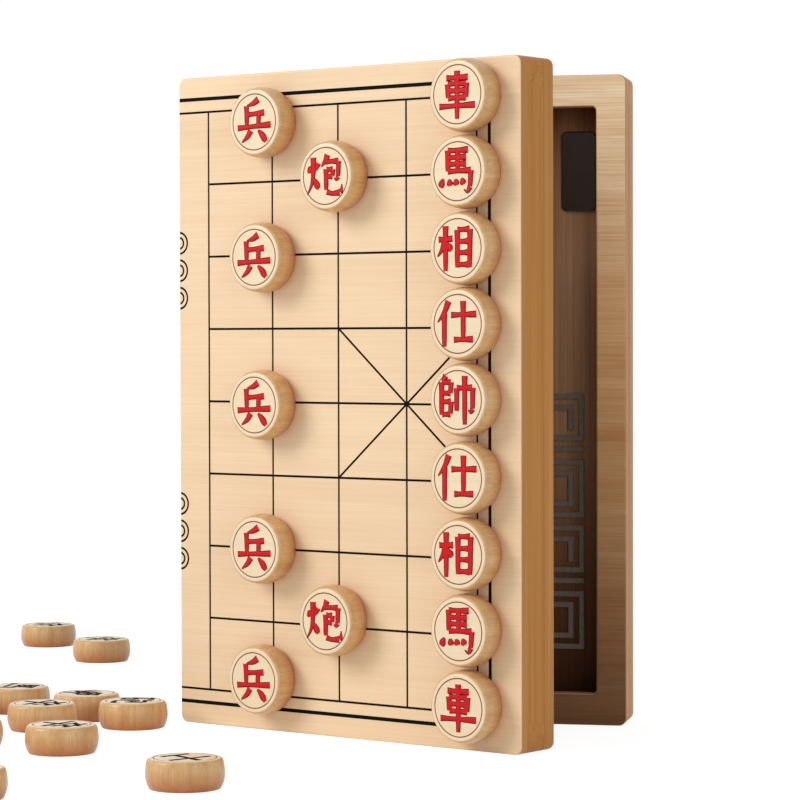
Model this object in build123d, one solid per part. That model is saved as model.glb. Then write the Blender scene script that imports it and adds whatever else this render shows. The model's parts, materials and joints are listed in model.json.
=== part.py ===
from build123d import *
import math
import os

# A folding wooden xiangqi box, open at an angle and standing on its end, with its chess pieces.
# Millimetres, +Z up. The origin is the centre of the front half's bottom end. The front half's
# outer board faces -Y and its fold edge is at -X. The back half turns about a vertical fold axis.

# Playing field
files = 9
ranks = 5  # on one half, from the river bank to the base line
file_pitch = 31.4
rank_pitch = 36.2
river_bank = 17.2  # fold edge to the river bank line
base_margin = 21.9  # base line to the free edge
end_margin = 15.2  # outermost file to the top or bottom edge
thin_line = 0.95
thick_line = 1.6
border_end_margin = 9.45  # thick border to the top or bottom edge
border_free_margin = 15.6  # thick border to the free edge
line_depth = 0.6
line_recess = 0.2  # the filling lies this far below the board's face
tick_length = 3.6
tick_width = 0.7
tick_offset = 1.9
wave_radii = (2.4, 4.6)
wave_pitch = 12.0
waves_in_group = 3
wave_group_offset = 57.0  # from mid height to the middle of a group of waves

# Case half
half_depth = 23.0
corner_radius = 3.5
edge_round = 0.7
panel_thickness = 4.0
seam_depth = 16.0  # outer face to the glue line of the rim frame
seam_chamfer = 0.3
side_rim = 13.1
end_rim = 13.65
liner_wall = 1.5
liner_floor = 1.5
steel_thickness = 0.5
opening_radius = 2.0
opening_round = 0.9
magnet_radius = 4.0
magnet_length = 5.0
magnet_spread = 95.0  # from mid height

# Fold
opening_angle = 25.8
fold_gap = 0.3  # between the rims when closed, and between the fold edges when laid open
hinge_spread = 84.0  # from mid height
leaf_length = 38.0
leaf_thickness = 1.0
barrel_radius = 1.6
barrel_clearance = 0.3
pin_radius = 0.6
pin_clearance = 0.05
pin_head_radius = 1.1
pin_head_length = 0.5
knuckles = 5
knuckle_gap = 0.2
screws_in_leaf = 3
screw_pitch = 13.0
screw_to_seam = 1.5  # screw heads to the glue line of the rim frame
leaf_margin = 1.4  # screw heads to the leaf's long edge
screw_head_radius = 1.8
screw_radius = 0.9
screw_length = 8.0
screw_slot_width = 0.45
screw_slot_depth = 0.4

# Inside the back half
badge_width = 15.4
badge_height = 34.9
badge_thickness = 1.2
badge_radius = 2.5
badge_bevel = 0.5
badge_from_wall = 2.3
badge_from_end = 23.3  # top edge to the badge's top
fret_count = 4
fret_size = 25.5
fret_pitch = 28.9
fret_bar = 2.4
fret_thickness = 1.1
fret_bevel = 0.25
fret_from_wall = 7.7
fret_first_height = 44.0  # bottom edge to the middle of the lowest fret

# Chess piece
piece_diameter = 30.0
piece_thickness = 11.5
piece_base_radius = 13.4
piece_top_radius = 14.05  # where side and face would meet
piece_round = 1.6  # between side and face
piece_belly = 0.48  # height of the widest place, as a share of the thickness
ring_radius = 11.85
ring_width = 0.5
ring_depth = 0.3
piece_magnet_radius = 4.0
piece_magnet_length = 2.9
piece_magnet_recess = 0.1
piece_seat_gap = 0.2
set_out_pitch = 30.9  # the back rank stands a little closer than the files
set_out_rise = 1.6
set_out_inset = 1.1  # back rank inside the base line
loose_clearance = 3.0  # between a loose piece and the path of the back half

# Worked out
box_height = (files - 1) * file_pitch + 2 * end_margin
half_width = river_bank + (ranks - 1) * rank_pitch + base_margin
mid_height = box_height / 2
fold_x = -half_width / 2
outer_y = -half_depth / 2
rim_y = half_depth / 2
hinge_x = fold_x - fold_gap / 2
hinge_y = rim_y + fold_gap / 2
side_rail = side_rim - liner_wall
end_rail = end_rim - liner_wall
sweep_radius = math.hypot(half_width, half_depth)
outer_file = (files - 1) // 2
liner_base = panel_thickness + steel_thickness
cavity_floor = liner_base + liner_floor
screw_depth = seam_depth - screw_to_seam - screw_head_radius  # outer face to the screws
leaf_depth = screw_depth - screw_head_radius - leaf_margin  # outer face to the leaf's long edge
hinge_axis = Axis((hinge_x, hinge_y, 0), (0, 0, 1))

# Pieces set out by hand: millimetres off their crossings, towards the free edge and up
set_out_shift = {
    "red_advisor_1": (0, 0.4),
    "red_general": (0, 0.7),
    "red_cannon_1": (2.7, 0.6),
    "red_cannon_2": (1.8, 3.3),
    "red_soldier_1": (0, -6.6),
    "red_soldier_2": (-0.4, -1.1),
    "red_soldier_3": (-0.6, -1.0),
    "red_soldier_4": (-0.8, 0.4),
    "red_soldier_5": (-1.4, 7.3),
}

# Loose pieces on the ground, in piece diameters. Those in front: fold edge to the centre, and
# outer face to the near edge. Those behind: path of the back half to the near edge, and direction.
loose_in_front = {
    "black_horse_1": (-2.78, 0.1),
    "black_elephant_1": (-1.31, 0.12),
    "black_soldier_3": (-0.98, 1.38),
    "black_cannon_1": (-0.13, 0.39),
    "black_soldier_4": (0.95, 2.96),
    "black_advisor_1": (4.48, 4.39),
    "black_chariot_1": (-0.46, 3.38),
    "black_general": (2.93, 6.64),
    "black_soldier_5": (-2.2, 2.4),
    "black_horse_2": (0.6, 5.0),
    "black_elephant_2": (-3.2, 1.25),
    "black_cannon_2": (-1.55, 3.9),
    "black_advisor_2": (1.3, 6.4),
}
loose_behind = {
    "black_soldier_1": (4.4, 147.3),
    "black_soldier_2": (1.45, 145.4),
    "black_chariot_2": (0.12, 168.0),
}


def across(u):
    """x of a place at u from the fold edge of the front half."""
    return fold_x + u


def block(u, v, z):
    """A block of the front half: u from the fold edge, v from the outer face, z from the bottom."""
    low = (across(u[0]), outer_y + v[0], z[0])
    return Pos(low) * Box(u[1] - u[0], v[1] - v[0], z[1] - z[0], align=(Align.MIN,) * 3)


def plate(v, outline):
    """An outline in x and height about the half's middle, from depth v[0] to v[1]."""
    middle = Plane(origin=(0, outer_y + v[1], mid_height), x_dir=(1, 0, 0), z_dir=(0, -1, 0))
    return extrude(middle * outline, v[1] - v[0])


def case_outline():
    return RectangleRounded(half_width, box_height, corner_radius)


def rod(x, y, z, radius):
    """An upright rod between two heights."""
    return Pos(x, y, z[0]) * Cylinder(radius, z[1] - z[0], align=(Align.CENTER, Align.CENTER, Align.MIN))


def to_back(shape):
    """The back half's copy of a front piece: mirrored in the rim plane, then opened about the fold."""
    rim_plane = Plane(origin=(0, hinge_y, 0), x_dir=(1, 0, 0), z_dir=(0, 1, 0))
    return mirror(shape, about=rim_plane).rotate(hinge_axis, opening_angle)


# Board


def bar(u, h, width):
    """A straight line of the board from one (u, height) to another."""
    run = (u[1] - u[0], h[1] - h[0])
    length = math.hypot(*run)
    turn = math.degrees(math.atan2(run[1], run[0]))
    centre = (fold_x + (u[0] + u[1]) / 2, (h[0] + h[1]) / 2)
    return Pos(*centre) * Rot(0, 0, turn) * Rectangle(length, width)


def rank_at(rank):
    return river_bank + rank * rank_pitch


def field_lines():
    """Ranks, files and palace, as one sketch about the half's middle."""
    reach = outer_file * file_pitch
    base = rank_at(ranks - 1)
    palace = (rank_at(ranks - 3), base)
    lines = [bar((palace[0], palace[1]), (s * file_pitch, -s * file_pitch), thin_line) for s in (-1, 1)]
    for rank in range(ranks):
        u = rank_at(rank)
        lines.append(bar((u, u), (-reach - thin_line / 2, reach + thin_line / 2), thin_line))
    for file in range(-outer_file, outer_file + 1):
        start = 0 if abs(file) == outer_file else river_bank
        lines.append(bar((start, base), (file * file_pitch, file * file_pitch), thin_line))
    return Sketch() + lines


def border_lines():
    """The thick border, open at the fold, about the half's middle."""
    top = mid_height - border_end_margin
    free = half_width - border_free_margin
    rail_end = free + thick_line / 2
    lines = [bar((0, rail_end), (s * top, s * top), thick_line) for s in (-1, 1)]
    lines.append(bar((free, free), (-top, top), thick_line))
    return Sketch() + lines


def tick_marks():
    """Corner ticks round the places of the soldiers and cannons, as separate sketches."""
    places = [(ranks - 4, f) for f in range(-outer_file, outer_file + 1, 2)]
    places += [(ranks - 3, f) for f in (1 - outer_file, outer_file - 1)]
    marks = []
    for rank, file in places:
        for su in (-1, 1):
            for sh in (-1, 1):
                if abs(file + sh) > outer_file:
                    continue
                u = rank_at(rank) + su * tick_offset
                h = file * file_pitch + sh * tick_offset
                end_u = u + su * tick_length
                end_h = h + sh * tick_length
                half = tick_width / 2
                mark = bar((u - su * half, end_u), (h, h), tick_width)
                marks.append(Sketch() + [mark, bar((u, u), (h - sh * half, end_h), tick_width)])
    return marks


def river_waves():
    """Half rings along the fold, in two groups, as separate sketches."""
    half_plane = Pos(fold_x + half_width / 2, 0) * Rectangle(half_width, box_height)
    rings = []
    for group in (-1, 1):
        for step in range(waves_in_group):
            h = group * wave_group_offset + (step - (waves_in_group - 1) / 2) * wave_pitch
            for radius in wave_radii:
                ring = Circle(radius + thin_line / 2) - Circle(radius - thin_line / 2)
                rings.append((Pos(fold_x, h) * ring) & half_plane)
    return rings


def board():
    """The outer panel with its grooves, and the dark filling of the grooves."""
    panel = plate((0, panel_thickness), case_outline())
    panel = fillet(panel.faces().sort_by(Axis.Y)[0].edges(), edge_round)
    sketches = [field_lines(), border_lines(), *tick_marks(), *river_waves()]
    panel -= [plate((0, line_depth), s) for s in sketches]
    lines = [solid for s in sketches for solid in plate((line_recess, line_depth), s).solids()]
    case = plate((0, panel_thickness), case_outline())
    case = fillet(case.faces().sort_by(Axis.Y)[0].edges(), edge_round)
    return panel, [solid for line in lines for solid in (line & case).solids()]


# Case


def rails():
    """The four rails between the panel and the rim frame: fold, free, top and bottom."""
    body = plate((panel_thickness, seam_depth), case_outline())
    body = chamfer(body.faces().sort_by(Axis.Y)[-1].edges(), seam_chamfer)
    depth = (0, half_depth)
    width = (0, half_width)
    between = (end_rail, box_height - end_rail)
    fold = (body & block((0, side_rail), depth, between)) - hinge_recesses()
    fold -= [screw_hole(z) for z in screw_heights()]
    return {
        "fold_rail": fold,
        "free_rail": body & block((half_width - side_rail, half_width), depth, between),
        "top_rail": body & block(width, depth, (box_height - end_rail, box_height)),
        "bottom_rail": body & block(width, depth, (0, end_rail)),
    }


def rim_frame():
    """The frame with the opening, glued on the rails. It holds the closing magnets."""
    frame = plate((seam_depth, half_depth), case_outline())
    frame = chamfer(frame.faces().sort_by(Axis.Y)[0].edges(), seam_chamfer)
    frame = fillet(frame.faces().sort_by(Axis.Y)[-1].edges(), edge_round)
    frame -= plate((seam_depth, half_depth), opening_outline())
    mouth = frame.faces().sort_by(Axis.Y)[-1].inner_wires()[0]
    frame = fillet(mouth.edges(), opening_round)
    return frame - closing_magnets() - hinge_recesses() - barrel_notches()


def opening_outline():
    return RectangleRounded(half_width - 2 * side_rim, box_height - 2 * end_rim, opening_radius)


def tray_outline(wall=0.0):
    return Rectangle(half_width - 2 * (side_rim - wall), box_height - 2 * (end_rim - wall))


def steel_sheet():
    return plate((panel_thickness, liner_base), tray_outline(liner_wall))


def cavity_liner():
    tray = plate((liner_base, seam_depth), tray_outline(liner_wall))
    return tray - plate((cavity_floor, seam_depth), opening_outline())


def closing_magnets():
    """Discs hidden under the rim of the free edge."""
    u = half_width - side_rim / 2
    spots = [(across(u), s * magnet_spread) for s in (-1, 1)]
    depth = (seam_depth, seam_depth + magnet_length)
    return [plate(depth, Pos(x, h) * Circle(magnet_radius)) for x, h in spots]


# Hinges


def hinge_heights():
    return [mid_height - hinge_spread, mid_height + hinge_spread]


def screw_heights():
    steps = [(n - (screws_in_leaf - 1) / 2) * screw_pitch for n in range(screws_in_leaf)]
    return [z + step for z in hinge_heights() for step in steps]


def leaf_span(z):
    return (z - leaf_length / 2, z + leaf_length / 2)


def hinge_recesses():
    depth = (leaf_depth, half_depth)
    return [block((0, leaf_thickness), depth, leaf_span(z)) for z in hinge_heights()]


def barrel_notches():
    """Room in the rim's fold edge for the barrels and pin heads."""
    ends = pin_head_length + barrel_clearance
    radius = barrel_radius + barrel_clearance
    spans = [leaf_span(z) for z in hinge_heights()]
    return [rod(hinge_x, hinge_y, (a - ends, b + ends), radius) for a, b in spans]


def knuckle_spans(z, of_front):
    """Heights of one half's knuckles: the front half has the odd ones, the back half the rest."""
    pitch = leaf_length / knuckles
    start = z - leaf_length / 2
    chosen = [n for n in range(knuckles) if (n % 2 == 0) == of_front]
    return [(start + n * pitch + knuckle_gap / 2, start + (n + 1) * pitch - knuckle_gap / 2) for n in chosen]


def screw_axis(z):
    """Where a hinge screw enters: its local Z runs into the fold rail."""
    return Plane(origin=(fold_x, outer_y + screw_depth, z), x_dir=(0, 1, 0), z_dir=(1, 0, 0))


def screw_hole(z):
    """The countersunk shape that a screw fills."""
    seat = screw_head_radius - screw_radius
    upright = (Align.CENTER, Align.CENTER, Align.MIN)
    head = Cone(screw_head_radius, screw_radius, seat, align=upright)
    return screw_axis(z) * (head + Cylinder(screw_radius, screw_length, align=upright))


def screws():
    arm = 2 * screw_head_radius * 0.7
    cross = Box(arm, screw_slot_width, 2 * screw_slot_depth) + Box(screw_slot_width, arm, 2 * screw_slot_depth)
    return [screw_hole(z) - screw_axis(z) * cross for z in screw_heights()]


def leaf(z, of_front):
    """One hinge leaf with its knuckles, in the front half's place."""
    body = block((0, leaf_thickness), (leaf_depth, half_depth), leaf_span(z))
    body -= [screw_hole(h) for h in screw_heights() if abs(h - z) < leaf_length / 2]
    free = barrel_radius + barrel_clearance / 2
    pitch = leaf_length / knuckles
    for a, b in knuckle_spans(z, not of_front):
        middle = (a + b) / 2
        body -= rod(hinge_x, hinge_y, (middle - pitch / 2 - knuckle_gap / 2, middle + pitch / 2 + knuckle_gap / 2), free)
    body += [rod(hinge_x, hinge_y, span, barrel_radius) for span in knuckle_spans(z, of_front)]
    return body - rod(hinge_x, hinge_y, leaf_span(z), pin_radius + pin_clearance)


def hinge_pins():
    pins = []
    for z in hinge_heights():
        a, b = leaf_span(z)
        pin = rod(hinge_x, hinge_y, (a, b), pin_radius)
        pin += rod(hinge_x, hinge_y, (a - pin_head_length, a), pin_head_radius)
        pins.append(pin + rod(hinge_x, hinge_y, (b, b + pin_head_length), pin_head_radius))
    return pins


# Inside the back half, drawn in the front half's place


def badge():
    """A blank dark plate on the cavity floor, beside the free edge's wall."""
    u = half_width - side_rim - badge_from_wall - badge_width / 2
    h = mid_height - badge_from_end - badge_height / 2
    outline = Pos(across(u), h) * RectangleRounded(badge_width, badge_height, badge_radius)
    body = plate((cavity_floor, cavity_floor + badge_thickness), outline)
    return chamfer(body.faces().sort_by(Axis.Y)[-1].edges(), badge_bevel)


def fret_outline():
    """A square key spiral: each bar starts where the last one ends."""
    step = 2 * fret_bar
    reach = (fret_size - fret_bar) / 2
    corners = [(-reach, -reach), (-reach, reach), (reach, reach), (reach, -reach)]
    corners += [(step - reach, -reach), (step - reach, reach - step), (reach - step, reach - step)]
    corners += [(reach - step, step - reach), (2 * step - reach, step - reach)]
    bars = []
    for (a, b), (c, d) in zip(corners, corners[1:]):
        size = (abs(c - a) + fret_bar, abs(d - b) + fret_bar)
        bars.append(Pos((a + c) / 2, (b + d) / 2) * Rectangle(*size))
    return Sketch() + bars


def floor_frets():
    """A column of key frets in low relief on the cavity floor, beside the free edge's wall."""
    u = half_width - side_rim - fret_from_wall - fret_size / 2
    frets = []
    for n in range(fret_count):
        h = fret_first_height + n * fret_pitch - mid_height
        turned = Pos(across(u), h) * Rot(0, 0, 90 * (n % 2)) * fret_outline()
        body = plate((cavity_floor, cavity_floor + fret_thickness), turned)
        frets.append(chamfer(body.faces().sort_by(Axis.Y)[-1].edges(), fret_bevel))
    return frets


# Chess pieces


def chess_piece():
    """A barrel-shaped disc on the XY plane with a ring groove in its face and a magnet in its base."""
    radius = piece_diameter / 2
    belly = piece_belly * piece_thickness
    upright = (Align.CENTER, Align.CENTER, Align.MIN)
    profile = Curve() + [
        Line((0, 0), (piece_base_radius, 0)),
        TangentArc((radius, belly), (piece_base_radius, 0), tangent=(0, -1)),
        TangentArc((radius, belly), (piece_top_radius, piece_thickness), tangent=(0, 1)),
        Line((piece_top_radius, piece_thickness), (0, piece_thickness)),
        Line((0, piece_thickness), (0, 0)),
    ]
    body = revolve(Plane.XZ * make_face(profile.edges()), Axis.Z)
    rim = body.faces().sort_by(Axis.Z)[-1].edges()
    body = fillet(rim, piece_round)
    inner = ring_radius - ring_width / 2
    groove = Cylinder(inner + ring_width, ring_depth, align=upright) - Cylinder(inner, ring_depth, align=upright)
    body -= Pos(0, 0, piece_thickness - ring_depth) * groove
    pocket = piece_magnet_length + piece_magnet_recess
    body -= Cylinder(piece_magnet_radius, pocket, align=upright)
    magnet = Pos(0, 0, piece_magnet_recess) * Cylinder(piece_magnet_radius, piece_magnet_length, align=upright)
    return [body, magnet]


def set_out():
    """Places of the front board's pieces: name to (u, height)."""
    places = {}
    back_rank = ["chariot_1", "horse_1", "elephant_1", "advisor_1", "general"]
    back_rank += ["advisor_2", "elephant_2", "horse_2", "chariot_2"]
    for n, name in enumerate(back_rank):
        height = mid_height + set_out_rise + (outer_file - n) * set_out_pitch
        places["red_" + name] = (rank_at(ranks - 1) - set_out_inset, height)
    for n, file in enumerate((outer_file - 1, 1 - outer_file)):
        places[f"red_cannon_{n + 1}"] = (rank_at(ranks - 3), mid_height + file * file_pitch)
    for n, file in enumerate(range(outer_file, -outer_file - 1, -2)):
        places[f"red_soldier_{n + 1}"] = (rank_at(ranks - 4), mid_height + file * file_pitch)
    for name, (along, up) in set_out_shift.items():
        places[name] = (places[name][0] + along, places[name][1] + up)
    return places


def loose_places():
    """Places of the loose pieces on the ground: name to (x, y)."""
    places = {}
    for name, (along, off) in loose_in_front.items():
        places[name] = (fold_x + along * piece_diameter, outer_y - (off + 0.5) * piece_diameter)
    start = sweep_radius + piece_diameter / 2 + loose_clearance
    for name, (off, direction) in loose_behind.items():
        radius = start + off * piece_diameter
        angle = math.radians(direction)
        places[name] = (hinge_x + radius * math.cos(angle), hinge_y + radius * math.sin(angle))
    return places


def main():
    os.makedirs("parts", exist_ok=True)
    panel, lines = board()
    half = {
        "face_panel": [panel],
        "board_lines": lines,
        "steel_sheet": [steel_sheet()],
        "rim_frame": [rim_frame()],
        "cavity_liner": [cavity_liner()],
        "closing_magnets": closing_magnets(),
        "hinge_screws": screws(),
    }
    half.update({name: [rail] for name, rail in rails().items()})
    nodes = {"front_" + name: solids for name, solids in half.items()}
    nodes.update({"back_" + name: [to_back(s) for s in solids] for name, solids in half.items()})
    nodes["front_hinge_leaves"] = [leaf(z, True) for z in hinge_heights()]
    nodes["back_hinge_leaves"] = [to_back(leaf(z, False)) for z in hinge_heights()]
    nodes["hinge_pins"] = hinge_pins()
    nodes["back_floor_badge"] = [to_back(badge())]
    nodes["back_floor_frets"] = [to_back(fret) for fret in floor_frets()]
    piece = chess_piece()
    for name, (u, height) in set_out().items():
        seat = Pos(across(u), outer_y - piece_seat_gap, height) * Rot(90, 0, 0)
        nodes[name] = [seat * solid for solid in piece]
    for name, (x, y) in loose_places().items():
        nodes[name] = [Pos(x, y, 0) * solid for solid in piece]
    for name, solids in nodes.items():
        found = [part for solid in solids for part in solid.solids()]
        export_step(Compound(label=name, children=found), f"parts/{name}.step")
    print(len(nodes), "nodes; closed box", half_width, "x", 2 * half_depth + fold_gap, "x", box_height)


if __name__ == "__main__":
    main()
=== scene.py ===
import bpy
import json
import math
from mathutils import Matrix, Vector


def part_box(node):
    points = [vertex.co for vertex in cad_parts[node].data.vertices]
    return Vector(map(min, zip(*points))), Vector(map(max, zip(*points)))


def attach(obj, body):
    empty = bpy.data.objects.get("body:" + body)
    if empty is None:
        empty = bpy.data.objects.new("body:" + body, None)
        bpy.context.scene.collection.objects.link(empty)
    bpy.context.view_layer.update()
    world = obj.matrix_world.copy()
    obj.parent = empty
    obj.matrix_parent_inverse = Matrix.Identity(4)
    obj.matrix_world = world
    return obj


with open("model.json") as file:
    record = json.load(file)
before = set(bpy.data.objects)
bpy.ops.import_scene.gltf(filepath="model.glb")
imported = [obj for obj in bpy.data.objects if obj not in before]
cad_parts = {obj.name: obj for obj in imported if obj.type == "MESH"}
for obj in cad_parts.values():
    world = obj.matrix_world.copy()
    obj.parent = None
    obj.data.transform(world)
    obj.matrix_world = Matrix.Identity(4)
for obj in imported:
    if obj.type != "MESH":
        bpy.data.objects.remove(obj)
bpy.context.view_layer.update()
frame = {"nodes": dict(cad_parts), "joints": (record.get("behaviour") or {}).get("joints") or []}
mm = 0.001
nodes = frame["nodes"]
foldHinge = next(joint for joint in frame["joints"] if joint["name"] == "fold_hinge")
openAngle = math.radians(-foldHinge["range_deg"][0])  # the back half stands this far open
hingePoint = Vector(foldHinge["pos_m"])
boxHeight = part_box("front_rim_frame")[1].z / mm


# Node and colour helpers

def hexColour(code):
    parts = [int(code[i:i + 2], 16) / 255 for i in (1, 3, 5)]
    return tuple(c / 12.92 if c <= 0.04045 else ((c + 0.055) / 1.055) ** 2.4 for c in parts) + (1.0,)


def addNode(tree, kind, settings={}, links={}):
    node = tree.nodes.new("ShaderNode" + kind)
    for key, value in settings.items():
        if isinstance(key, str) and hasattr(node, key):
            setattr(node, key, value)
        else:
            node.inputs[key].default_value = value
    for key, socket in links.items():
        tree.links.new(socket, node.inputs[key])
    return node.outputs


def newMaterial(name):
    material = bpy.data.materials.new(name)
    material.use_nodes = True
    tree = material.node_tree
    shader = tree.nodes["Principled BSDF"]
    return material, tree, shader


# Wood. Each wood has two tones, the size of its streaks in mm, how strongly they show, and its finish.

maple = {"light": "#F8DEBB", "dark": "#E6C49A", "streakWidth": 0.8, "streakLength": 60, "bandWidth": 16,
         "contrast": 0.55, "roughness": 0.42, "gloss": 0.3, "coat": 0.12}
honeyRail = {"light": "#D0944C", "dark": "#A96C2A", "streakWidth": 0.7, "streakLength": 120, "bandWidth": 6,
             "contrast": 0.75, "roughness": 0.45, "gloss": 0.15, "coat": 0.03}
rimMaple = {"light": "#FDE8CA", "dark": "#DDB484", "streakWidth": 0.8, "streakLength": 45, "bandWidth": 10,
            "contrast": 1.1, "roughness": 0.45, "gloss": 0.25, "coat": 0.04}
stainedWall = {"light": "#D9A27C", "dark": "#B07A58", "streakWidth": 0.8, "streakLength": 60, "bandWidth": 8,
               "contrast": 0.5, "roughness": 0.5, "gloss": 0.1, "coat": 0.05}
walnut = {"light": "#C6A080", "dark": "#87684E", "streakWidth": 1.0, "streakLength": 90, "bandWidth": 9,
          "contrast": 0.8, "roughness": 0.55, "gloss": 0.08, "coat": 0.0}
# The tone multiplied into a piece's side near its base is painted shade
pieceSide = {"light": "#E8C28C", "dark": "#BE8A52", "streakWidth": 0.5, "streakLength": 30, "bandWidth": 3.5,
             "contrast": 0.7, "roughness": 0.34, "gloss": 0.4, "coat": 0.2, "baseShadeTone": "#DDA26C"}
pieceFace = {"light": "#F5E3C6", "dark": "#E8CDA2", "streakWidth": 0.5, "streakLength": 14, "bandWidth": 5,
             "contrast": 0.5, "roughness": 0.5, "gloss": 0.2, "coat": 0.05}

# Painted shade by height: share of the height from the bottom, and the tone there. The back half's rim is
# painted darker towards the bottom; the lining is painted darker towards the bottom and the top
rimShadeTones = [(0.0, "#785A40"), (0.16, "#A4866A"), (0.35, "#CDB090"), (0.65, "#EED2B2"), (0.95, "#FFFCF6")]
liningShadeTones = [(0.03, "#5E4634"), (0.2, "#A08670"), (0.45, "#E8DCD0"), (0.72, "#FFF8F0"), (0.96, "#A88C70")]
satinCoat = {"glossier": 0.05, "duller": 0.08, "relief": 0.12, "reliefDepth": 0.08 * mm, "coatRoughness": 0.25,
             "ior": 1.5}
softStep = {"interpolation_type": "SMOOTHSTEP"}
rimFrame = {"outerSkin": 6, "foldGapHalf": 0.15, "blend": 0.5}  # mm


def halfSpace(tree, half, output, scale=1 / mm):
    # Object coordinates in mm, or the surface's direction, in the front half's own axes
    coords = addNode(tree, "TexCoord")[output]
    turn = -openAngle if half == "back" else 0.0
    settings = {"vector_type": "POINT", "Scale": (scale,) * 3, "Rotation": (0, 0, turn)}
    if output == "Object" and half == "back":
        settings["Location"] = -(Matrix.Rotation(turn, 3, "Z") @ hingePoint) * scale
    return addNode(tree, "Mapping", settings, {"Vector": coords})["Vector"]


def woodColour(tree, coords, wood, grain):
    # Long thin streaks over broad soft bands, both drawn out along the grain axis
    across = {"streak": wood["streakWidth"], "band": wood["bandWidth"]}
    along = {"streak": wood["streakLength"], "band": wood["streakLength"] * 3}
    noises = []
    for size in ("streak", "band"):
        scale = [1 / across[size]] * 3
        scale["XYZ".index(grain)] = 1 / along[size]
        placed = addNode(tree, "Mapping", {"Scale": scale}, {"Vector": coords})["Vector"]
        noises.append(addNode(tree, "TexNoise", {"Scale": 1.0, "Detail": 3.0, "Roughness": 0.6},
                              {"Vector": placed})["Fac"])
    both = addNode(tree, "Math", {"operation": "ADD"}, {0: noises[0], 1: noises[1]})["Value"]
    spread = 0.32 / wood["contrast"]
    share = addNode(tree, "MapRange", {"From Min": 1.0 - spread, "From Max": 1.0 + spread},
                    {"Value": both})["Result"]
    tones = {6: hexColour(wood["light"]), 7: hexColour(wood["dark"])}
    colour = addNode(tree, "Mix", {"data_type": "RGBA"} | tones, {0: share})[2]
    return colour, share


def paintedShadeByHeight(tree, coords, colour, tones):
    # A wood's colour times a painted shade tone at this height
    height = addNode(tree, "SeparateXYZ", links={"Vector": coords})["Z"]
    share = addNode(tree, "MapRange", {"From Max": boxHeight}, {"Value": height})["Result"]
    ramp = addNode(tree, "ValToRGB", links={"Fac": share})
    stops = ramp["Color"].node.color_ramp.elements
    stops[0].position, stops[0].color = tones[0][0], hexColour(tones[0][1])
    stops[1].position, stops[1].color = tones[-1][0], hexColour(tones[-1][1])
    for place, code in tones[1:-1]:
        stops.new(place).color = hexColour(code)
    return addNode(tree, "Mix", {"data_type": "RGBA", "blend_type": "MULTIPLY", 0: 1.0},
                   {6: colour, 7: ramp["Color"]})[2]


def turnedTo(tree, half, axis):
    # 1 where the surface faces along the axis, either way, and 0 where it lies along it
    normal = addNode(tree, "SeparateXYZ", links={"Vector": halfSpace(tree, half, "Normal", 1.0)})[axis]
    return addNode(tree, "Math", {"operation": "ABSOLUTE"}, {0: normal})["Value"]


def lacquer(tree, shader, wood, share):
    # Clear satin lacquer: the grain shows a little in the gloss and as a faint relief
    rough = addNode(tree, "MapRange", {"To Min": wood["roughness"] - satinCoat["glossier"],
                                       "To Max": wood["roughness"] + satinCoat["duller"]},
                    {"Value": share})["Result"]
    bump = addNode(tree, "Bump", {"Strength": satinCoat["relief"], "Distance": satinCoat["reliefDepth"]},
                   {"Height": share})["Normal"]
    tree.links.new(rough, shader.inputs["Roughness"])
    tree.links.new(bump, shader.inputs["Normal"])
    shader.inputs["Coat Weight"].default_value = wood["coat"]
    shader.inputs["Coat Roughness"].default_value = satinCoat["coatRoughness"]
    shader.inputs["Specular IOR Level"].default_value = wood["gloss"]
    shader.inputs["IOR"].default_value = satinCoat["ior"]


def boardWood(name, half):
    # Lacquered maple, grain across the board; its edges are toned like the rails
    material, tree, shader = newMaterial(name)
    coords = halfSpace(tree, half, "Object")
    face, share = woodColour(tree, coords, maple, "X")
    side = woodColour(tree, coords, honeyRail, "Z")[0]
    onFace = addNode(tree, "MapRange", softStep | {"From Min": 0.3, "From Max": 0.6},
                     {"Value": turnedTo(tree, half, "Y")})["Result"]
    colour = addNode(tree, "Mix", {"data_type": "RGBA"}, {0: onFace, 6: side, 7: face})[2]
    tree.links.new(colour, shader.inputs["Base Color"])
    lacquer(tree, shader, maple, share)
    return material


def railWood(name, half, grain):
    # Honey-toned rail, planed and lacquered: streaks run the rail's length
    material, tree, shader = newMaterial(name)
    colour, share = woodColour(tree, halfSpace(tree, half, "Object"), honeyRail, grain)
    tree.links.new(colour, shader.inputs["Base Color"])
    lacquer(tree, shader, honeyRail, share)
    return material


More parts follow.
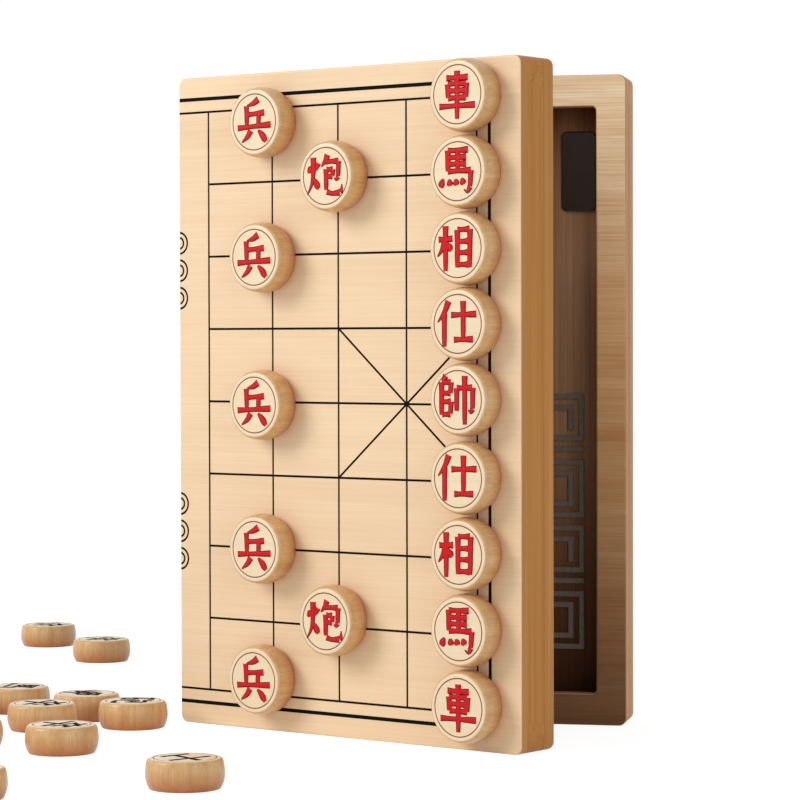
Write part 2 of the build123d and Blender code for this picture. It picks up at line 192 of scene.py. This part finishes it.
def rimWood(name, half):
    # Maple frame: pale on the rim, honey outside, stained brown inside the opening
    material, tree, shader = newMaterial(name)
    coords = halfSpace(tree, half, "Object")
    rim, share = woodColour(tree, coords, rimMaple, "X")
    # The back half's rim gets painted shade: darker towards the bottom
    if half == "back":
        rim = paintedShadeByHeight(tree, coords, rim, rimShadeTones)
    outside = woodColour(tree, coords, honeyRail, "Z")[0]
    inside = woodColour(tree, coords, stainedWall, "Z")[0]
    onRim = addNode(tree, "MapRange", softStep | {"From Min": 0.75, "From Max": 0.92},
                    {"Value": turnedTo(tree, half, "Y")})["Result"]
    place = addNode(tree, "SeparateXYZ", links={"Vector": coords})
    low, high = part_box("front_rim_frame")
    size = (high - low) / mm
    middle = (low + high) / 2 / mm
    centreX = middle.x if half == "front" else size.x / 2 + rimFrame["foldGapHalf"]  # from the fold axis
    overhang = []
    for axis, centre, extent in (("X", centreX, size.x), ("Z", middle.z, size.z)):
        offset = addNode(tree, "Math", {"operation": "SUBTRACT", 1: centre}, {0: place[axis]})["Value"]
        distance = addNode(tree, "Math", {"operation": "ABSOLUTE"}, {0: offset})["Value"]
        inner = extent / 2 - rimFrame["outerSkin"]
        overhang.append(addNode(tree, "Math", {"operation": "SUBTRACT", 1: inner}, {0: distance})["Value"])
    farthest = addNode(tree, "Math", {"operation": "MAXIMUM"}, {0: overhang[0], 1: overhang[1]})["Value"]
    blend = rimFrame["blend"]
    isOutside = addNode(tree, "MapRange", softStep | {"From Min": -blend, "From Max": blend},
                        {"Value": farthest})["Result"]
    walls = addNode(tree, "Mix", {"data_type": "RGBA"}, {0: isOutside, 6: inside, 7: outside})[2]
    colour = addNode(tree, "Mix", {"data_type": "RGBA"}, {0: onRim, 6: walls, 7: rim})[2]
    tree.links.new(colour, shader.inputs["Base Color"])
    lacquer(tree, shader, rimMaple, share)
    return material


def liningWood(name, half):
    # Walnut veneer, oiled and nearly matt, grain upright: a dark warm inside, darkened further by painted shade
    # towards the bottom and the top of the cavity
    material, tree, shader = newMaterial(name)
    coords = halfSpace(tree, half, "Object")
    colour, share = woodColour(tree, coords, walnut, "Z")
    # Painted shade: the lining is darker towards the bottom and the top of the cavity, and keeps its own colour
    # in between
    colour = paintedShadeByHeight(tree, coords, colour, liningShadeTones)
    tree.links.new(colour, shader.inputs["Base Color"])
    lacquer(tree, shader, walnut, share)
    return material


def pieceWood(name, axis, base, face):
    # Turned maple: pale end with fine grain; the side is painted darker and warmer towards the base as painted
    # shade
    material, tree, shader = newMaterial(name)
    coords = halfSpace(tree, "front", "Object")
    side, share = woodColour(tree, coords, pieceSide, axis)
    top = woodColour(tree, coords, pieceFace, "X")[0]
    onFace = addNode(tree, "MapRange", softStep | {"From Min": 0.85, "From Max": 0.99},
                     {"Value": turnedTo(tree, "front", axis)})["Result"]
    place = addNode(tree, "SeparateXYZ", links={"Vector": coords})[axis]
    # Painted shade: the side darkens towards the base
    height = addNode(tree, "MapRange", {"From Min": base, "From Max": base + (face - base) * 0.7},
                     {"Value": place})["Result"]
    warm = addNode(tree, "Mix", {"data_type": "RGBA", "blend_type": "MULTIPLY", 0: 1.0,
                                 7: hexColour(pieceSide["baseShadeTone"])}, {6: side})[2]
    body = addNode(tree, "Mix", {"data_type": "RGBA"}, {0: height, 6: warm, 7: side})[2]
    colour = addNode(tree, "Mix", {"data_type": "RGBA"}, {0: onFace, 6: body, 7: top})[2]
    tree.links.new(colour, shader.inputs["Base Color"])
    lacquer(tree, shader, pieceSide, share)
    return material


def paint(name, light, dark, grit, roughness, metallic=0.0, gloss=0.5):
    # Paint, filler or metal: a faint mottle, grit mm across, in colour and gloss
    material, tree, shader = newMaterial(name)
    coords = halfSpace(tree, "front", "Object", 1 / (grit * mm))
    mottle = addNode(tree, "TexNoise", {"Scale": 1.0, "Detail": 2.0}, {"Vector": coords})["Fac"]
    tones = {6: hexColour(light), 7: hexColour(dark)}
    colour = addNode(tree, "Mix", {"data_type": "RGBA"} | tones, {0: mottle})[2]
    rough = addNode(tree, "MapRange", {"To Min": roughness - 0.08, "To Max": roughness + 0.08},
                    {"Value": mottle})["Result"]
    tree.links.new(colour, shader.inputs["Base Color"])
    tree.links.new(rough, shader.inputs["Roughness"])
    shader.inputs["Metallic"].default_value = metallic
    shader.inputs["Specular IOR Level"].default_value = gloss
    return material


# Materials on the CAD nodes

def dress(node, material):
    data = nodes[node].data
    data.materials.clear()
    data.materials.append(material)


# Matt filler that reads as ink; cast relief in dull grey; a dark satin plate; satin brass; plain steels that
# mirror the studio softly; bright nickel
lineInk = paint("grooveFilling", "#070605", "#030202", 1.2, 0.8, gloss=0.1)
fretGrey = paint("castGreyRelief", "#7C7067", "#5F554D", 2.0, 0.45)
badgeDark = paint("darkBadge", "#2B1D15", "#1C120C", 3.0, 0.35)
brass = paint("brushedBrass", "#C9A04C", "#A67F35", 0.8, 0.32, 1.0)
steel = paint("pinSteel", "#B4B5B7", "#8F9092", 0.8, 0.35, 1.0)
sheetSteel = paint("galvanisedSheet", "#A5A7A9", "#8A8C8E", 5.0, 0.4, 1.0)
nickel = paint("nickelPlate", "#C7C4BE", "#B0ADA7", 2.0, 0.25, 1.0)

for half in ("front", "back"):
    dress(half + "_face_panel", boardWood(half + "BoardMaple", half))
    uprightRail = railWood(half + "UprightRail", half, "Z")
    crossRail = railWood(half + "CrossRail", half, "X")
    for rail in ("fold", "free", "top", "bottom"):
        dress(f"{half}_{rail}_rail", uprightRail if rail in ("fold", "free") else crossRail)
    dress(half + "_rim_frame", rimWood(half + "RimMaple", half))
    dress(half + "_cavity_liner", liningWood(half + "WalnutLining", half))
    dress(half + "_board_lines", lineInk)
    dress(half + "_steel_sheet", sheetSteel)
    dress(half + "_closing_magnets", nickel)
    dress(half + "_hinge_leaves", brass)
    dress(half + "_hinge_screws", brass)
dress("hinge_pins", steel)
dress("back_floor_badge", badgeDark)
dress("back_floor_frets", fretGrey)

redNames = sorted(name for name in nodes if name.startswith("red_"))
blackNames = sorted(name for name in nodes if name.startswith("black_"))
low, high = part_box(redNames[0])
redPieceWood = pieceWood("redPieceMaple", "Y", high.y / mm, low.y / mm)
low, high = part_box(blackNames[0])
blackPieceWood = pieceWood("blackPieceMaple", "Z", low.z / mm, high.z / mm)
for name in redNames:
    dress(name, redPieceWood)
for name in blackNames:
    dress(name, blackPieceWood)
print("stage: materials")


# Marks on the pieces: the game's traditional rank marks as plain brush strokes. A stroke is its kind and
# the points it runs through, in hundredths of the ring's radius.

brush = {"reach": 11.85, "width": 2.5, "thickness": 0.06, "outline": 0.18, "stations": 6,
         "h": (0.95, 0.75, 0.7, 0.75, 0.95, 1.0), "v": (1.1, 0.95, 0.9, 0.9, 0.9, 0.7),
         "p": (1.15, 1.05, 0.9, 0.7, 0.45, 0.15), "n": (0.3, 0.55, 0.85, 1.15, 1.3, 0.3),
         "d": (0.3, 0.7, 1.0, 1.2, 1.15, 0.6), "k": (1.0, 0.85, 0.6, 0.4, 0.25, 0.1)}

wrapStrokes = [("p", (10, 74), (2, 54), (-18, 32)), ("h", (2, 50), (60, 50)), ("v", (60, 50), (58, -4)),
               ("k", (58, -4), (50, -16), (40, -8)), ("h", (6, 22), (34, 22)), ("v", (34, 22), (33, -2)),
               ("h", (6, -3), (33, -3)), ("v", (4, 24), (4, -50)), ("h", (6, -56), (30, -63), (66, -60)),
               ("k", (66, -58), (74, -50), (74, -30))]
cartStrokes = [("h", (-46, 56), (46, 56)), ("v", (-40, 36), (-38, -12)), ("h", (-40, 36), (38, 36)),
               ("v", (40, 38), (38, -12)), ("h", (-36, 12), (36, 12)), ("h", (-38, -12), (38, -12)),
               ("h", (-76, -40), (76, -38)), ("v", (0, 80), (0, -84))]
horseStrokes = [("v", (-40, 72), (-40, 0)), ("h", (-40, 70), (46, 72)), ("h", (-38, 47), (38, 48)),
                ("h", (-38, 24), (38, 25)), ("v", (2, 70), (2, 2)), ("h", (-40, 0), (58, 2)),
                ("v", (58, 2), (54, -54)), ("k", (54, -54), (44, -74), (28, -62)),
                ("d", (-58, -24), (-72, -54)), ("d", (-34, -26), (-30, -50)), ("d", (-8, -26), (-2, -48)),
                ("d", (18, -24), (28, -46))]
marks = {
    "red_soldier": [("p", (20, 80), (-2, 66), (-34, 58)), ("v", (-36, 58), (-34, -12)),
                    ("h", (-34, 26), (48, 32)), ("v", (22, 28), (20, -10)), ("h", (-78, -20), (78, -12)),
                    ("p", (-16, -30), (-30, -52), (-58, -72)), ("d", (18, -30), (38, -48), (56, -72))],
    "red_cannon": [("d", (-74, 36), (-66, 12)), ("p", (-32, 46), (-40, 28), (-46, 18)),
                   ("p", (-54, 66), (-54, 0), (-62, -36), (-82, -64)), ("d", (-52, -6), (-40, -28), (-28, -44)),
                   *wrapStrokes],
    "red_chariot": cartStrokes,
    "red_horse": horseStrokes,
    "red_elephant": [("h", (-80, 30), (-20, 32)), ("v", (-50, 76), (-50, -78)),
                     ("p", (-52, 28), (-64, -4), (-84, -28)), ("d", (-46, 20), (-36, 6), (-24, -8)),
                     ("v", (0, 62), (0, -66)), ("h", (0, 62), (52, 64)), ("v", (54, 64), (52, -66)),
                     ("h", (2, 22), (50, 23)), ("h", (2, -16), (50, -15)), ("h", (2, -56), (50, -56))],
    "red_advisor": [("p", (-38, 78), (-54, 40), (-84, 6)), ("v", (-56, 36), (-56, -78)),
                    ("h", (-28, 30), (80, 33)), ("v", (24, 78), (24, -52)), ("h", (-16, -54), (66, -52))],
    "red_general": [("p", (-50, 82), (-58, 70), (-66, 62)), ("v", (-68, 60), (-68, -52)),
                    ("h", (-68, 58), (-28, 60)), ("v", (-28, 60), (-30, 22)), ("h", (-66, 22), (-30, 23)),
                    ("h", (-68, -8), (-28, -6)), ("v", (-28, -6), (-30, -48)), ("h", (-66, -50), (-30, -49)),
                    ("v", (-4, 40), (-4, -38)), ("h", (-4, 40), (62, 42)), ("v", (64, 42), (63, -30)),
                    ("k", (63, -30), (56, -44), (44, -34)), ("v", (30, 82), (30, -84))],
    "black_soldier": [("d", (-6, 88), (4, 70)), ("h", (-58, 60), (58, 62)),
                      ("p", (-24, 56), (-36, 28), (-64, 6)), ("d", (-34, 34), (-24, 20), (-8, 8)),
                      ("p", (28, 56), (16, 30), (-2, 10)), ("n", (20, 40), (34, 22), (62, 4)),
                      ("h", (-78, -20), (78, -18)), ("v", (0, 6), (0, -86))],
    "black_cannon": [("h", (-84, 58), (-22, 60)), ("p", (-54, 56), (-62, 16), (-86, -20)),
                     ("v", (-62, 0), (-61, -52)), ("h", (-62, 2), (-30, 3)), ("v", (-29, 3), (-31, -52)),
                     ("h", (-60, -48), (-32, -47)), *wrapStrokes],
    "black_chariot": cartStrokes,
    "black_horse": horseStrokes,
    "black_elephant": [("p", (-4, 84), (-16, 64), (-42, 46)), ("h", (-16, 64), (22, 65)),
                       ("p", (22, 65), (16, 54), (8, 46)), ("v", (-40, 42), (-38, 16)),
                       ("h", (-40, 42), (42, 44)),
                       ("v", (42, 44), (38, 18)), ("v", (0, 42), (-2, 18)), ("h", (-38, 17), (38, 18)),
                       ("p", (0, 16), (-22, 0), (-64, -14)), ("v", (-14, 4), (14, -16), (18, -58)),
                       ("k", (18, -58), (10, -78), (-8, -66)), ("p", (8, -12), (-22, -32), (-62, -44)),
                       ("p", (14, -36), (-18, -60), (-64, -74)), ("p", (50, 6), (34, -6), (18, -14)),
                       ("n", (18, -8), (42, -42), (80, -66))],
    "black_advisor": [("h", (-78, 26), (78, 30)), ("v", (0, 82), (0, -56)), ("h", (-52, -60), (52, -58))],
    "black_general": [("v", (-50, 80), (-50, -82)), ("v", (-80, 62), (-80, 26)), ("h", (-80, 24), (-52, 25)),
                      ("h", (-82, -10), (-52, -8)), ("p", (-72, -10), (-76, -36), (-86, -62)),
                      ("p", (12, 84), (-4, 56), (-26, 38)), ("h", (2, 62), (50, 64)),
                      ("p", (50, 64), (30, 26), (-14, 0)), ("d", (-2, 50), (8, 36)), ("d", (16, 42), (24, 28)),
                      ("h", (-32, -6), (80, -3)), ("v", (46, 18), (46, -68)),
                      ("k", (46, -68), (38, -82), (24, -70)),
                      ("d", (-4, -26), (4, -36), (14, -48))],
}


def alongStroke(points, share):
    # The place at a share of the stroke's length
    lengths = [math.dist(a, b) for a, b in zip(points, points[1:])]
    rest = share * sum(lengths)
    for (a, b), length in zip(zip(points, points[1:]), lengths):
        if rest <= length or b == points[-1]:
            return Vector(a).lerp(Vector(b), min(rest / length, 1.0))
        rest -= length


def brushStrokes(name, strokes, grow, flatness, material):
    curve = bpy.data.curves.new(name, "CURVE")
    curve.dimensions = "3D"
    curve.bevel_depth = mm
    curve.bevel_resolution = 1
    curve.resolution_u = 3
    curve.use_fill_caps = True
    for kind, *points in strokes:
        spline = curve.splines.new("NURBS")
        spline.points.add(brush["stations"] - 1)
        for n, point in enumerate(spline.points):
            place = alongStroke(points, n / (brush["stations"] - 1)) * brush["reach"] / 100 * mm
            point.co = (place.x, place.y, 0, 1)
            point.radius = brush[kind][n] * brush["width"] / 2 + grow
        spline.order_u = 3
        spline.use_endpoint_u = True
    drawn = bpy.data.objects.new(name, curve)
    bpy.context.scene.collection.objects.link(drawn)
    bpy.ops.object.select_all(action="DESELECT")
    drawn.select_set(True)
    bpy.context.view_layer.objects.active = drawn
    bpy.ops.object.convert(target="MESH")
    bpy.ops.transform.resize(value=(1, 1, flatness))
    bpy.ops.object.transform_apply()
    bpy.ops.object.shade_smooth()
    drawn = bpy.context.view_layer.objects.active
    drawn.data.materials.clear()
    drawn.data.materials.append(material)
    return drawn


bead = {"radius": 0.235, "sink": 0.15, "flatness": 0.6}  # mm


def ringBead(name, material):
    # The paint bead in the ring groove of a piece's face
    bpy.ops.object.select_all(action="DESELECT")
    bpy.ops.mesh.primitive_torus_add(major_radius=brush["reach"] * mm, minor_radius=bead["radius"] * mm,
                                     major_segments=72, minor_segments=8, location=(0, 0, -bead["sink"] * mm))
    drawn = bpy.context.view_layer.objects.active
    drawn.name = name
    bpy.ops.transform.resize(value=(1, 1, bead["flatness"]))
    bpy.ops.object.transform_apply()
    bpy.ops.object.shade_smooth()
    drawn.data.materials.clear()
    drawn.data.materials.append(material)
    return drawn


def joinPieces(parts, name):
    bpy.ops.object.select_all(action="DESELECT")
    for part in parts:
        part.select_set(True)
    bpy.context.view_layer.objects.active = parts[0]
    bpy.ops.object.join()
    parts[0].name = name
    return parts[0]


# Thick enamel strokes over a wider, darker layer that is painted shade along their edges, as of an engraving,
# and a thin dull bead in the ring groove
redPaint = paint("redEnamel", "#DC0A14", "#C0040C", 2.0, 0.5, gloss=0.2)
redEdgeShade = paint("darkRedEdgeShade", "#6E0C0A", "#520808", 2.0, 0.5, gloss=0.2)
ringRed = paint("ringRed", "#8A3A26", "#6E2A1C", 2.0, 0.5)
blackPaint = paint("blackEnamel", "#08090A", "#040405", 2.0, 0.7, gloss=0.05)
blackEdgeShade = paint("blackEdgeShade", "#060606", "#030303", 2.0, 0.7, gloss=0.05)
ringBlack = paint("ringBlack", "#4A3A2C", "#35281E", 2.0, 0.5)

markOf = {}
for mark, strokes in marks.items():
    red = mark.startswith("red")
    fill = brushStrokes(mark + "Fill", strokes, 0.0, brush["thickness"], redPaint if red else blackPaint)
    # The wider, darker layer is painted shade along the stroke's edges
    edge = brushStrokes(mark + "Edge", strokes, brush["outline"], brush["thickness"] * 0.55,
                        redEdgeShade if red else blackEdgeShade)
    ring = ringBead(mark + "Ring", ringRed if red else ringBlack)
    markOf[mark] = joinPieces([fill, edge, ring], mark + "Mark")

looseTurns = {"black_soldier_1": -92, "black_soldier_2": -84, "black_horse_1": -70, "black_elephant_1": -118,
              "black_soldier_3": -88, "black_cannon_1": -60, "black_soldier_4": -90, "black_advisor_1": -105,
              "black_chariot_1": 35, "black_chariot_2": -150, "black_general": 20, "black_soldier_5": 140,
              "black_horse_2": 12, "black_elephant_2": -25, "black_cannon_2": 75, "black_advisor_2": -40}
upright = Matrix.Rotation(math.radians(90), 4, "X")
for name in redNames + blackNames:
    low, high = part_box(name)
    middle = (low + high) / 2
    mark = markOf["_".join(name.split("_")[:2])]
    copy = bpy.data.objects.new(name + "_mark", mark.data.copy())
    bpy.context.scene.collection.objects.link(copy)
    if name in redNames:
        place = Matrix.Translation((middle.x, low.y, middle.z)) @ upright
    else:
        turn = Matrix.Rotation(math.radians(looseTurns[name]), 4, "Z")
        place = Matrix.Translation((middle.x, middle.y, high.z)) @ turn
    copy.data.transform(place)
    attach(copy, name)
for mark in markOf.values():
    bpy.data.objects.remove(mark)
print("stage: marks on the pieces")


# Floor, light and camera

studio = {"floorSize": 8.0, "keyPower": 27, "keySize": 1.1, "keyPlace": (-1.1, -1.5, 1.25), "fillPower": 6,
          "fillSize": 1.0, "fillPlace": (1.7, -0.7, 0.6), "ambient": 0.45, "floorGlow": 1.27, "glowShare": 0.7}
photo = {"place": (0.80242, -1.00128, 0.16755), "yaw": -37.955, "pitch": -1.145, "roll": -0.132, "lens": 136.6,
         "sensor": 36.0}


def skyRays(tree):
    # 1 for rays that see the background itself: camera, mirror and glass rays
    rays = addNode(tree, "LightPath")
    some = addNode(tree, "Math", {"operation": "MAXIMUM"}, {0: rays["Is Camera Ray"], 1: rays["Is Glossy Ray"]})
    return addNode(tree, "Math", {"operation": "MAXIMUM"}, {0: some["Value"],
                                                            1: rays["Is Transmission Ray"]})["Value"]


bpy.ops.object.select_all(action="DESELECT")
bpy.ops.mesh.primitive_plane_add(size=studio["floorSize"])
floor = bpy.context.view_layer.objects.active
floor.name = "floor"
material, tree, shader = newMaterial("paleFloor")
shader.inputs["Base Color"].default_value = hexColour("#F4F3F1")
shader.inputs["Roughness"].default_value = 0.9
white = addNode(tree, "Emission", {"Color": (1, 1, 1, 1), "Strength": studio["floorGlow"]})["Emission"]
seen = addNode(tree, "Math", {"operation": "MULTIPLY", 1: studio["glowShare"]}, {0: skyRays(tree)})["Value"]
surface = addNode(tree, "MixShader", links={0: seen, 1: shader.outputs["BSDF"], 2: white})["Shader"]
tree.links.new(surface, tree.nodes["Material Output"].inputs["Surface"])
floor.data.materials.append(material)

world = bpy.data.worlds.new("studioWorld")
bpy.context.scene.world = world
world.use_nodes = True
tree = world.node_tree
strength = addNode(tree, "MapRange", {"To Min": studio["ambient"], "To Max": 1.0},
                   {"Value": skyRays(tree)})["Result"]
tree.nodes["Background"].inputs["Color"].default_value = (1, 1, 1, 1)
tree.links.new(strength, tree.nodes["Background"].inputs["Strength"])


def areaLamp(name, power, size, place, target):
    lamp = bpy.data.lights.new(name, "AREA")
    lamp.energy = power
    lamp.size = size
    holder = bpy.data.objects.new(name, lamp)
    bpy.context.scene.collection.objects.link(holder)
    holder.location = place
    holder.rotation_euler = (Vector(target) - Vector(place)).to_track_quat("-Z", "Y").to_euler()


target = (0, 0, 0.14)
areaLamp("keyLamp", studio["keyPower"], studio["keySize"], studio["keyPlace"], target)
areaLamp("fillLamp", studio["fillPower"], studio["fillSize"], studio["fillPlace"], target)

camera = bpy.data.cameras.new("photoCamera")
camera.lens = photo["lens"]
camera.sensor_width = photo["sensor"]
camera.clip_start = 0.01
cameraObject = bpy.data.objects.new("photoCamera", camera)
bpy.context.scene.collection.objects.link(cameraObject)
cameraObject.location = photo["place"]
heading = Matrix.Rotation(-math.radians(photo["yaw"]), 3, "Z")
tilt = Matrix.Rotation(math.radians(90 + photo["pitch"]), 3, "X")
roll = Matrix.Rotation(math.radians(photo["roll"]), 3, "Z")
cameraObject.rotation_euler = (heading @ tilt @ roll).to_euler()
bpy.context.scene.camera = cameraObject
bpy.context.scene.view_settings.view_transform = "Standard"
print("stage: floor, light and camera")
